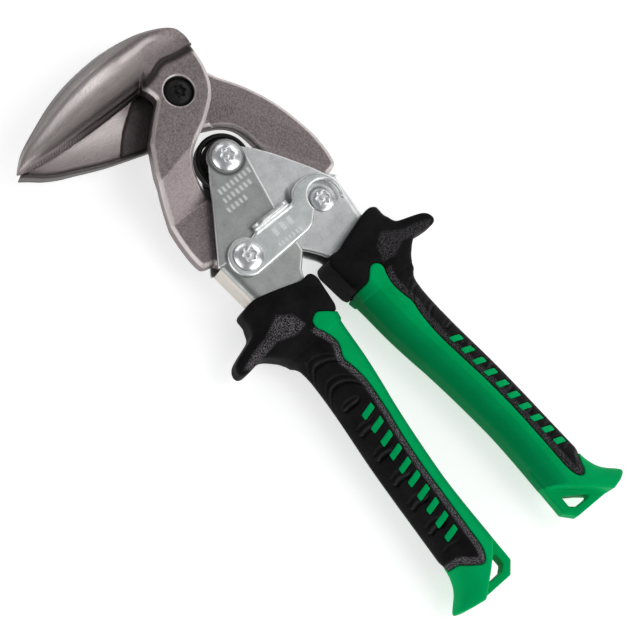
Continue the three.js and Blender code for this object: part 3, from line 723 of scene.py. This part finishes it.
def latch():
    s = Space((-28, -73, 7), (28.5, -50, 15.5), 0.22)
    x, y, z = s.x, s.y, s.z
    points = outline(
        arc(LEFT_LINK, 7.6, 60, 262), smooth([(5.6, -69.4), (8.6, -68.4), (11, -66.4)]),
        arc(RIGHT_LINK, 6.3, 195, -38), (24.6, -68.2),
        smooth([(25.6, -66.9), (26.6, -63.5), (26.5, -60), (24.6, -56.3), (21.3, -53.7),
                (17, -52.6), (12.4, -53.1), (9.4, -54.9), (8.2, -57)]),
        (6, -57.7), (-11.2, -57.7), (-13.4, -58.3),
    )
    plan = plan_distance(x, y, points)
    slab = np.abs(z - 0.5 * (LATCH_LOW + LATCH_TOP)) - 0.5 * (LATCH_TOP - LATCH_LOW)
    field, cut = bevelled(plan, slab, 0.5)
    width = np.abs(x + 2.3) - 8.4
    rounded = soft_max(width, z - LATCH_TOP - 3.3, 4.5)
    from_tab = np.abs(y - THUMB_TAB_Y)
    tab = np.maximum(rounded, from_tab - 1.1)
    tab = np.maximum(tab, LATCH_LOW - z)
    tab = soft_max(tab, from_tab - 1.2, 0.8)
    bend = np.maximum(soft_max(y + 55.1, LATCH_LOW - z, 2.0), np.maximum(width, -58.2 - y))
    bend = np.maximum(bend, z - LATCH_TOP)
    field = np.maximum(soft_min(field, np.minimum(tab, bend), 0.9), LATCH_LOW - z)
    field = np.maximum(field, LINK_SHANK + FIT - radius_from(s, LEFT_LINK))
    edge = ramp(cut, -0.2, 0.0)
    # A painted highlight along the top of the thumb tab.
    edge = np.maximum(edge, 0.2 * ramp(z, LATCH_TOP + 2.4, LATCH_TOP + 3.0))
    large = dashes(x, y + 62.2, -6.6, 4.2, 3.6, 3.4)
    small = dashes(x, y + 67.0, -7.6, 4.4, 1.7, 1.6)
    marks = np.maximum(large, small)
    marks = 0.7 * marks * (z > LATCH_TOP - 0.4) * (z < LATCH_TOP + 0.3)
    shadow = 0.3 * ramp(z, LATCH_TOP + 0.8, LATCH_TOP + 1.6)
    piece = carve("latch_plate", s, field, 1, edge=edge, stamp=marks, wall=0.0, shade=shadow)
    dress(piece, LATCH_SHEET, "latch", "latch_zinc", "latch")


latch()


# ---------------------------------------------------------------- bolts
HEAD_R = 5.9
JAW_HEAD_R = 5.4
HEAD_CROWN = 8.4
STUB = 8.0


def button_bolt(name, centre, head_r, low, high, shank, end, material, body, slot, node):
    """A button head from low to high, with a six-lobed socket and a centre pin.  Its plain
    shank is made as a short stub, whose lower half is then drawn down to end."""
    height = high - low
    s = Space((-6.6, -6.6, -STUB - 1), (6.6, 6.6, height + 0.8), 0.15)
    z = s.z
    r = radius_from(s, (0, 0))
    sphere = np.sqrt(r ** 2 + (z + HEAD_CROWN - height) ** 2) - HEAD_CROWN
    head = soft_max(np.maximum(sphere, z - height + 0.25), r - head_r - 0.3, 0.7)
    head = chamfer(head, -z, 0.4)
    angle = np.arctan2(s.y, s.x) + 0.35
    lobed = r - (2.25 + 0.34 * np.cos(6 * angle))
    socket = np.maximum(lobed, height - 1.7 - z)
    head = chamfer(head, -socket, 0.3)
    pin = np.maximum(r - 0.75, np.maximum(z - height + 0.35, -z))
    head = np.minimum(head, pin)
    stub = np.maximum(r - shank, z - 0.5)
    field = np.minimum(head, np.maximum(stub, -STUB - z))
    cells, quads = net(field)
    points = s.low + s.step * relaxed(cells, quads, 1)
    lower_half = points[:, 2] < -0.5 * STUB
    points[lower_half, 2] += end - low + STUB
    points += (centre[0], centre[1], low)
    piece = mesh_object(name, points, quads)
    dress(piece, material, body, slot, node)


button_bolt("jaw_bolt", JAW_PIVOT, JAW_HEAD_R, HUB_FRONT - 2.9, HUB_FRONT + 0.2, JAW_SHANK,
            HUB_REAR - 6.0, BLACK_OXIDE, "upper_jaw", "black_oxide", "jaw_pivot_bolt")
button_bolt("handle_bolt", HANDLE_PIVOT, HEAD_R, LEFT_HALF + GAP, LEFT_HALF + 2.9, HANDLE_SHANK,
            BOLT_END, ZINC, "left_handle", "bright_zinc", "handle_pivot_bolt")
button_bolt("left_link_screw", LEFT_LINK, HEAD_R, LATCH_TOP + 0.7, LATCH_TOP + 3.3, LINK_SHANK,
            BOLT_END, ZINC, "left_handle", "bright_zinc", "left_link_bolt")
button_bolt("right_link_screw", RIGHT_LINK, HEAD_R, RIGHT_HALF + GAP, RIGHT_HALF + 2.2, LINK_SHANK,
            BOLT_END, ZINC, "right_handle", "bright_zinc", "right_link_bolt")

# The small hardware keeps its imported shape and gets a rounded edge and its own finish.
KEPT_NODES = {
    BLACK_OXIDE: ("jaw_pivot_nut", "jaw_pivot_washer", "spring_bushing"),
    ZINC: ("handle_pivot_nut", "handle_pivot_washer", "left_link_nut", "right_link_nut",
           "left_link_spacer_front", "left_link_spacer_rear", "latch_wave_washer"),
}
for material, names in KEPT_NODES.items():
    for name in names:
        piece = frame["nodes"][name]
        piece.data.materials.clear()
        piece.data.materials.append(material)
        rounding = piece.modifiers.new("rounding", "BEVEL")
        rounding.width = 0.25 * MM
        rounding.segments = 2


# ---------------------------------------------------------------- return spring
def tube(path, radius, sides=14):
    """A wire of round section along a path, closed at both ends: (points, faces)."""
    path = np.array(path, float)
    ahead = np.gradient(path, axis=0)
    ahead /= np.linalg.norm(ahead, axis=1)[:, None]
    across = np.cross(ahead, (0.0, 0.0, 1.0))
    across /= np.linalg.norm(across, axis=1)[:, None]
    up = np.cross(across, ahead)
    angles = np.linspace(0, 2 * np.pi, sides, endpoint=False)
    ring = np.cos(angles)[None, :, None] * across[:, None] + np.sin(angles)[None, :, None] * up[:, None]
    points = (path[:, None] + radius * ring).reshape(-1, 3)
    faces = []
    for i in range(len(path) - 1):
        for j in range(sides):
            k = (j + 1) % sides
            faces.append((i * sides + j, i * sides + k, (i + 1) * sides + k, (i + 1) * sides + j))
    last = len(points) - sides
    faces += [tuple(range(sides))[::-1], tuple(range(last, last + sides))]
    return points, faces


def spring():
    coil_r, wire_r, turns, pitch = 9.6, 1.1, 2.5, 2.0
    low = -pitch * turns / 2
    leg = smooth([(7.2, -73), (7.4, -60), (8.3, -45), (9.5, -35), (coil_r, HANDLE_PIVOT[1])], 10)[:-1]
    path = [(x, y, low) for x, y in leg]
    for turn in np.linspace(0, turns, 200):
        angle = 2 * np.pi * turn
        path.append((coil_r * np.cos(angle), HANDLE_PIVOT[1] + coil_r * np.sin(angle), low + pitch * turn))
    path += [(-x, y, -low) for x, y in leg[::-1]]
    points, faces = tube(path, wire_r)
    mesh = bpy.data.meshes.new("return_spring_wire")
    mesh.from_pydata(((points + TO_ROW) * MM).tolist(), [], faces)
    mesh.shade_smooth()
    piece = bpy.data.objects.new("return_spring_wire", mesh)
    bpy.context.scene.collection.objects.link(piece)
    mesh.materials.append(SPRING_STEEL)
    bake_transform(piece)
    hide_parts("return_spring")


spring()


# ---------------------------------------------------------------- grips
GRIP_INNER = profile([
    (-74, 3.6), (-84, 3.7), (-91, 4.5), (-106, 5.9), (-118, 6.9), (-129, 8.4), (-138, 9.9), (-150, 11.5),
    (-165, 13.1), (-175, 13.8), (-190, 14.1), (-216, 14.1),
])
GRIP_OUTER = profile([
    (-74, 33.6), (-82, 33.6), (-88, 34), (-93, 35.4), (-97.5, 33), (-100.5, 30.7), (-104, 29), (-109, 28.1),
    (-116, 27.9), (-130, 28.9), (-150, 31.1), (-165, 32.3), (-180, 33.3), (-196, 34.5), (-202, 35.9),
    (-206, 38.3), (-211, 43.4), (-216, 46),
])
BOXY = profile([(-74, 1), (-94, 1), (-104, 0.35), (-112, 0), (-216, 0)])
GRIP_PLAN = outline(
    smooth([(35.6, -84), (34.6, -79), (32.4, -77.7), (28, -77.2), (21, -79), (14.8, -80.9), (9.5, -82.5),
            (5.6, -82.3), (3.2, -84.6)]),
    (-4, -95), (-4, -180), (12.6, -197.8), (16.2, -200.2), (33, -214.2), (38, -213.4), (43, -211.8),
    (44.2, -210.6), (44, -209), (50, -200),
)
# Where the black overmould ends on the two faces, from the collar down.
WIDE_EDGE = outline(
    (2, -98.4),
    smooth([
        (7, -98.2), (10, -97.8), (12.2, -96.1), (13.9, -94.4), (15.8, -93.8), (17.8, -94.9),
        (18.5, -97), (17.6, -100), (16.9, -104.5), (17.8, -110.2), (18.6, -113.8), (17.9, -120),
        (18, -130), (19.6, -142.4), (21.2, -154.5), (22.4, -168.6), (23, -184.7), (23.3, -196.7),
        (24.6, -201.4), (26.6, -202.8), (28.4, -201.6), (29.6, -199.2), (31.4, -196.5),
    ]),
    (40, -194),
)
NARROW_EDGE = outline(
    (2, -99.4),
    smooth([
        (7, -98.4), (9.1, -96.9), (12.2, -94.8), (14.3, -94.8), (16.6, -96.4), (16.9, -99.3),
        (15.6, -101.8), (14.1, -106.8), (14.7, -109.8), (16.4, -113.8), (15.7, -117.7),
        (14.8, -125.7), (15.9, -137.7), (17.5, -147.6), (19.2, -161.4), (20, -174.3),
        (21.1, -189.1), (21.6, -197), (22.8, -201.2), (24.6, -203.4), (26.4, -203.2),
        (29.6, -200.7), (31.6, -198.6), (33.7, -198.2), (40, -197.4),
    ]),
)
HORN = outline(
    (27, -84.5),
    smooth([
        (33.4, -84.6), (35.2, -86.6), (38.8, -88), (43.2, -89.4), (46.6, -90.8), (48.2, -92.6),
        (48.4, -94.6), (47, -95.6), (43, -95.4), (39.3, -94.9), (36.6, -95.6), (33.4, -97.6),
        (30.6, -100.4), (29, -104),
    ]),
    (24, -106),
)
HORN_PANEL = outline(
    (47, -94.2), (40.5, -91.6), (34, -90.4), (26, -86.5), (21, -90), (19.5, -95.5), (24.5, -96.4),
    (31.5, -93.9), (39, -95.2), (44.5, -96),
)
LARGE_CHEVRONS_END = -128
BARS_TOP = -134.5
BAR_COUNT = 10
BAR_PITCH = 5.9
BAR_DEPTH = 4
TAB = outline((13.5, -190), (13.5, -209.4), (17.4, -213.7), (33, -213.9), (30, -200))
TAB_HOLE = outline(
    smooth([(18.2, -204.8), (17.4, -204.2), (17.2, -205.4)], 3), (17.2, -208.6), (19.4, -210.4),
    smooth([(24.6, -210.6), (25.8, -210.4), (25.2, -209.4)], 3),
)


def side_of(x, y, edge):
    """Distance from the colour boundary, negative on the black side."""
    zone = outline(edge, (70, edge[-1][1]), (70, -60), (-20, -60), (-20, edge[0][1]))
    return plan_distance(x, y, zone)


def grip_body(s):
    """The plain grip: a ridge along its inner side and a shoulder sloping to its outer one."""
    x, depth = s.x, np.abs(s.z)
    inner, outer, box = GRIP_INNER(s.y), GRIP_OUTER(s.y), BOXY(s.y)
    width = outer - inner

    def plane(x0, z0, x1, z1):
        """Height over the line between two points of the cross-section."""
        length = np.hypot(x1 - x0, z1 - z0)
        return ((x - x0) * (z0 - z1) + (depth - z0) * (x1 - x0)) / length

    ridge_x, ridge_z = inner + 2.6, 9.3 + 2.0 * box
    crown = inner + (0.42 + 0.04 * box) * width
    shoulder_x, shoulder_z = outer - 0.2 * width, 9.4 + 1.9 * box
    front = np.maximum(plane(ridge_x, ridge_z, crown, GRIP_HALF), depth - GRIP_HALF)
    front = soft_max(front, plane(crown + 2.5, GRIP_HALF, shoulder_x, shoulder_z), 2.0)
    front = soft_max(front, plane(shoulder_x, shoulder_z, outer, 3.4 + 3.4 * box), 3.0)
    front = soft_max(front, x - outer, 3.5)
    flank = soft_max(plane(inner, 6.2 + 4.0 * box, ridge_x, ridge_z), inner - x, 2.0)
    return soft_max(front, flank, 0.7)


def chevrons(s):
    """Large chevrons over small ones: (strength, groove, lip). The groove is cut into the surface and also
    painted as shade; the lip beside it is a painted highlight.
    """
    y = s.y
    around = (GRIP_OUTER(y) - s.x) + GRIP_HALF - np.abs(s.z)
    large = ramp(y, -130, -126) * ramp(y, -102, -108)
    small = ramp(y, -126, -130) * ramp(y, -194, -190)
    large_v = np.mod(y + 1.5 * np.abs(around - 7.0) + 2.0, 10.0)
    small_v = np.mod(y + 1.7 * np.abs(np.mod(around - 1.5, 3.0) - 1.5), 10.8)
    phase = np.where(y > LARGE_CHEVRONS_END, large_v, small_v)
    strength = 0.8 * large * ramp(around, 15, 12) + small * ramp(around, 8.5, 7.5)
    dark = ramp(np.abs(phase - 2.0), 0.65, 0.2) + 0.6 * ramp(np.abs(phase - 4.8), 0.6, 0.2)
    light = ramp(np.abs(phase - 2.9), 0.55, 0.15) + 0.6 * ramp(np.abs(phase - 5.6), 0.5, 0.15)
    return strength, dark, light


def raised_bars(s, wide_side):
    """Distance to the slanted bars that stand where lettering would be."""
    x, y = s.x, s.y
    lane = np.where(wide_side, 22.7 - 0.105 * (y + 134), 24.5 - 0.1 * (y + 160))
    bars = FAR
    for row in range(BAR_COUNT):
        middle = BARS_TOP - BAR_PITCH * row
        bar = np.maximum(np.abs(x - lane) - 2.5, np.abs(y - middle + 0.3 * (x - lane)) - 1.3)
        bars = np.minimum(bars, bar)
    return bars


def moulding():
    """The right grip, which turned over is the left one: its space, the fields of its black
    overmould and its green sleeve, and the masks of each."""
    s = Space((-1, -216.5, -13.6), (50, -74.5, 13.6), 0.36)
    x, y, z = s.x, s.y, s.z
    depth = np.abs(z)
    wide_side = z > 0
    plan = plan_distance(x, y, GRIP_PLAN)
    grip = soft_max(grip_body(s), plan, 1.4)

    panel = ramp(plan_distance(x, y, HORN_PANEL), 0.5, -0.5)
    horn_face = depth - 7.4 + 0.06 * (x - 34) + 0.5 * (1 - panel)
    horned = soft_min(grip, soft_max(plan_distance(x, y, HORN), horn_face, 3.2), 3.2)

    edge = np.where(wide_side, side_of(x, y, WIDE_EDGE), side_of(x, y, NARROW_EDGE))
    swell = 0.45 * ramp(edge, -0.3, -2.6)
    strength, dark, light = chevrons(s)
    skin = np.maximum(horned - swell + 0.24 * strength * dark, depth - GRIP_HALF)
    bars = raised_bars(s, wide_side)

    core = np.maximum(horned, plan + 0.4) + SKIN
    shell = np.maximum(soft_max(skin, edge + 0.12, 0.8), -core)
    black = np.where(depth > BAR_DEPTH, np.maximum(shell, 0.1 - bars), shell)
    filling = np.maximum(core + 0.3, y + 86)
    green = np.minimum(soft_max(grip, 0.12 - edge, 0.6), filling)
    inlay = np.maximum(np.maximum(skin - 0.08, bars), -core)
    green = np.where(depth > BAR_DEPTH, np.minimum(green, inlay), green)

    tab = soft_max(plan_distance(x, y, TAB), depth - 3.3, 0.7)
    hole = plan_distance(x, y, TAB_HOLE)
    green = soft_min(green, tab, 0.6)
    green = np.maximum(green, np.where(depth < 9, -hole, -FAR))
    green = soft_max(green, -hole, 0.5)

    stipple = ramp(edge, -2.9, -2.2) * (y < -98.5) * (y > -204)
    # On the horn panel the stipple also paints a sheen.
    stipple = np.maximum(stipple, 0.8 * panel * ramp(depth, 4.0, 5.5)) * np.where(wide_side, 0.4, 1.0)
    # Painted shade on the inner flank, darker towards the inner edge.
    from_inner = x - GRIP_INNER(y)
    creased = 0.3 * ramp(from_inner, 6.5, 6.0) + 0.25 * ramp(from_inner, 6.0, 2.0)
    flank = np.where(wide_side, creased, 0.5 * ramp(from_inner, 4.0, 0.8))
    flank = flank * (plan < -0.8) * ramp(y, -204, -199)
    # The groove mask carries painted shade in the chevron grooves and a painted highlight on their lips.
    black_masks = {"stipple": stipple, "groove": strength * (0.8 * light - dark)}
    return s, black, green, black_masks, {"flank": flank}


def grips():
    s, black, green, black_masks, green_masks = moulding()
    room_points = outline(
        (2, -60), (5.6, -81.3), np.array(TANG_INNER[::-1]) - (FIT, 0),
        (TANG_INNER[0][0] - FIT, TANG_END - FIT), (TANG_OUTER[-1][0] + FIT, TANG_END - FIT),
        np.array(TANG_OUTER[::-1]) + (FIT, 0), (32, -60),
    )
    room_plan = plan_distance(s.x, s.y, room_points)
    for side, half in (("left", LEFT_HALF), ("right", RIGHT_HALF)):
        room = np.maximum(room_plan, np.abs(s.z) - half - FIT)
        over = side == "left"
        body = side + "_handle"
        sleeve = carve(side + "_sleeve", s, np.maximum(green, -room), 1, over, **green_masks)
        dress(sleeve, GREEN, body, "green_plastic", side + "_grip_sleeve")
        skin = carve(side + "_overmold", s, np.maximum(black, -room), 1, over, **black_masks)
        dress(skin, RUBBER, body, "black_rubber", side + "_grip_overmold")


grips()


# ---------------------------------------------------------------- stage, light and camera
STAGE_CENTRE = (0.0, -0.05, 0.0)


def floor():
    half = 6.0
    mesh = bpy.data.meshes.new("floor")
    corners = [(-half, -half, 0), (half, -half, 0), (half, half, 0), (-half, half, 0)]
    mesh.from_pydata(corners, [], [(0, 1, 2, 3)])
    piece = bpy.data.objects.new("floor", mesh)
    bpy.context.scene.collection.objects.link(piece)
    s = Shader("floor", Roughness=0.9)
    tone = s.scale(s.noise(400.0), 0.3, 0.7, 0.62, 0.64)
    colour = s.add("ShaderNodeCombineColor", {"Red": tone, "Green": tone, "Blue": tone}).outputs["Color"]
    s.set(Base_Color=colour, Emission_Color=(1, 1, 1, 1), Emission_Strength=0.62)
    mesh.materials.append(s.material)


def area_light(name, place, size, power):
    data = bpy.data.lights.new(name, "AREA")
    data.shape = "RECTANGLE"
    data.size, data.size_y = size
    data.energy = power
    light = bpy.data.objects.new(name, data)
    aim = Vector(STAGE_CENTRE) - Vector(place)
    light.matrix_world = Matrix.Translation(place) @ aim.to_track_quat("-Z", "Y").to_matrix().to_4x4()
    bpy.context.scene.collection.objects.link(light)


def camera():
    place = Vector((-0.40358, -0.11343, 1.13312))
    look = Vector((0.331, 0.038, -0.9429)).normalized()
    right = look.cross(Vector((0.5941, 0.7679, 0.2395))).normalized()
    up = right.cross(look)
    data = bpy.data.cameras.new("camera")
    data.lens = 181.6
    data.sensor_width = 36.0
    data.clip_end = 20.0
    piece = bpy.data.objects.new("camera", data)
    turn = Matrix((right, up, -look)).transposed().to_4x4()
    piece.matrix_world = Matrix.Translation(place) @ turn
    bpy.context.scene.collection.objects.link(piece)
    bpy.context.scene.camera = piece


def world():
    made = bpy.data.worlds.new("world")
    made.use_nodes = True
    background = made.node_tree.nodes["Background"]
    background.inputs["Color"].default_value = (0.95, 0.97, 1.0, 1)
    background.inputs["Strength"].default_value = 0.28
    bpy.context.scene.world = made
    bpy.context.scene.view_settings.view_transform = "Standard"


floor()
area_light("low_front", (0.35, -1.55, 0.75), (1.9, 0.8), 14)
area_light("low_left", (-1.55, 0.1, 0.70), (1.5, 0.8), 8)
area_light("low_right", (1.55, 0.2, 0.85), (1.3, 0.8), 7)
area_light("upper", (0.50, -0.50, 1.35), (0.7, 0.7), 4.6)
area_light("back_strip", (0.2, 1.5, 0.70), (1.5, 0.25), 3)
camera()
world()
